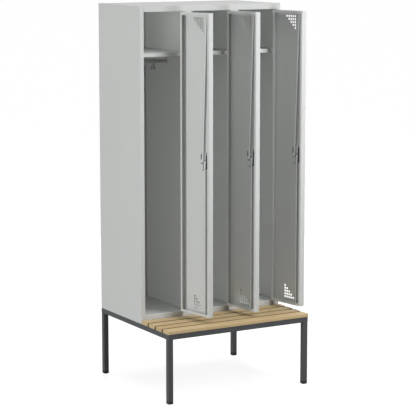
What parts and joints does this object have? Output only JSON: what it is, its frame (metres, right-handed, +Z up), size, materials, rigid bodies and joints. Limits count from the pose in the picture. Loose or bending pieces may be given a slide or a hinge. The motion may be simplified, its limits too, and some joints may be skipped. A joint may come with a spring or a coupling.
{
  "type": "clothes locker",
  "caption": "Steel clothes locker with perforated hinged doors, hat shelves, coat rails and turn-handle bar locks, on a tube underframe with a slatted bench in front.",
  "frame": {"origin": "on the floor, in the middle of the box around the whole unit as it stands with its doors open", "axes": "+X to the right seen from the front, +Y from the bench towards the back panel, +Z up"},
  "size_m": [0.9272, 0.8088, 2.145],
  "materials": {
    "body_paint": "light grey powder coat, satin",
    "frame_paint": "dark grey powder coat, satin",
    "slat_wood": "clear satin lacquer",
    "bright_zinc": "zinc plated",
    "handle_plastic": "fine grained",
    "glide_plastic": "matt"
  },
  "bodies": {
    "cabinet": {"side_frame_left": "frame_paint", "side_frame_right": "frame_paint", "front_rail": "frame_paint", "rear_rail": "frame_paint", "middle_rail": "frame_paint", "foot_glide_front_left": "glide_plastic", "foot_glide_front_right": "glide_plastic", "foot_glide_rear_left": "glide_plastic", "foot_glide_rear_right": "glide_plastic", "slat_1": "slat_wood", "slat_2": "slat_wood", "slat_3": "slat_wood", "slat_4": "slat_wood", "side_panel_left": "body_paint", "side_panel_right": "body_paint", "post_1": "body_paint", "post_2": "body_paint", "partition_1": "body_paint", "partition_2": "body_paint", "top_panel": "body_paint", "floor_panel": "body_paint", "back_panel": "body_paint", "shelf_1": "body_paint", "shelf_2": "body_paint", "shelf_3": "body_paint", "coat_rail_1": "bright_zinc", "coat_rail_2": "bright_zinc", "coat_rail_3": "bright_zinc", "coat_hook_1_1": "bright_zinc", "coat_hook_1_2": "bright_zinc", "coat_hook_2_1": "bright_zinc", "coat_hook_2_2": "bright_zinc", "coat_hook_3_1": "bright_zinc", "coat_hook_3_2": "bright_zinc", "hinge_pin_lower_1": "bright_zinc", "hinge_pin_upper_1": "bright_zinc", "hinge_pin_lower_2": "bright_zinc", "hinge_pin_upper_2": "bright_zinc", "hinge_pin_lower_3": "bright_zinc", "hinge_pin_upper_3": "bright_zinc"},
    "door_1": {"door_leaf_1": "body_paint", "lock_body_1": "bright_zinc"},
    "lock_1": {"turn_handle_1": "handle_plastic", "lock_cam_1": "bright_zinc"},
    "upper_bar_1": {"upper_bar_1": "bright_zinc"},
    "lower_bar_1": {"lower_bar_1": "bright_zinc"},
    "door_2": {"door_leaf_2": "body_paint", "lock_body_2": "bright_zinc"},
    "lock_2": {"turn_handle_2": "handle_plastic", "lock_cam_2": "bright_zinc"},
    "upper_bar_2": {"upper_bar_2": "bright_zinc"},
    "lower_bar_2": {"lower_bar_2": "bright_zinc"},
    "door_3": {"door_leaf_3": "body_paint", "lock_body_3": "bright_zinc"},
    "lock_3": {"turn_handle_3": "handle_plastic", "lock_cam_3": "bright_zinc"},
    "upper_bar_3": {"upper_bar_3": "bright_zinc"},
    "lower_bar_3": {"lower_bar_3": "bright_zinc"}
  },
  "joints": [
    {"name": "door_hinge_1", "type": "hinge", "parent": "cabinet", "child": "door_1", "pos_m": [-0.18759, -0.0936, 1.2745], "axis": [0, 0, 1], "range_deg": [-100, 10]},
    {"name": "lock_turn_1", "type": "hinge", "parent": "door_1", "child": "lock_1", "pos_m": [-0.15921, -0.27188, 1.3], "axis": [0.9848, 0.1736, 0], "range_deg": [0, 90]},
    {"name": "upper_bar_slide_1", "type": "slide", "parent": "door_1", "child": "upper_bar_1", "axis": [0.0067, -0.0378, 0.9993], "range_m": [0, 0.01839]},
    {"name": "lower_bar_slide_1", "type": "slide", "parent": "door_1", "child": "lower_bar_1", "axis": [0, 0, -1], "range_m": [0, 0.0185]},
    {"name": "door_hinge_2", "type": "hinge", "parent": "cabinet", "child": "door_2", "pos_m": [0.11141, -0.0936, 1.2745], "axis": [0, 0, 1], "range_deg": [-100, 10]},
    {"name": "lock_turn_2", "type": "hinge", "parent": "door_2", "child": "lock_2", "pos_m": [0.1398, -0.27188, 1.3], "axis": [0.9848, 0.1736, 0], "range_deg": [0, 90]},
    {"name": "upper_bar_slide_2", "type": "slide", "parent": "door_2", "child": "upper_bar_2", "axis": [0.0067, -0.0378, 0.9993], "range_m": [0, 0.01839]},
    {"name": "lower_bar_slide_2", "type": "slide", "parent": "door_2", "child": "lower_bar_2", "axis": [0, 0, -1], "range_m": [0, 0.0185]},
    {"name": "door_hinge_3", "type": "hinge", "parent": "cabinet", "child": "door_3", "pos_m": [0.41041, -0.0936, 1.2745], "axis": [0, 0, 1], "range_deg": [-100, 10]},
    {"name": "lock_turn_3", "type": "hinge", "parent": "door_3", "child": "lock_3", "pos_m": [0.43879, -0.27188, 1.3], "axis": [0.9848, 0.1736, 0], "range_deg": [0, 90]},
    {"name": "upper_bar_slide_3", "type": "slide", "parent": "door_3", "child": "upper_bar_3", "axis": [0.0067, -0.0378, 0.9993], "range_m": [0, 0.01839]},
    {"name": "lower_bar_slide_3", "type": "slide", "parent": "door_3", "child": "lower_bar_3", "axis": [0, 0, -1], "range_m": [0, 0.0185]}
  ],
  "couplings": [
    {"joint": "lock_turn_1", "follows": "upper_bar_slide_1", "rad_per_m": 85.377},
    {"joint": "lower_bar_slide_1", "follows": "upper_bar_slide_1", "ratio": 0.99926},
    {"joint": "lock_turn_2", "follows": "upper_bar_slide_2", "rad_per_m": 85.377},
    {"joint": "lower_bar_slide_2", "follows": "upper_bar_slide_2", "ratio": 0.99926},
    {"joint": "lock_turn_3", "follows": "upper_bar_slide_3", "rad_per_m": 85.377},
    {"joint": "lower_bar_slide_3", "follows": "upper_bar_slide_3", "ratio": 0.99926}
  ]
}
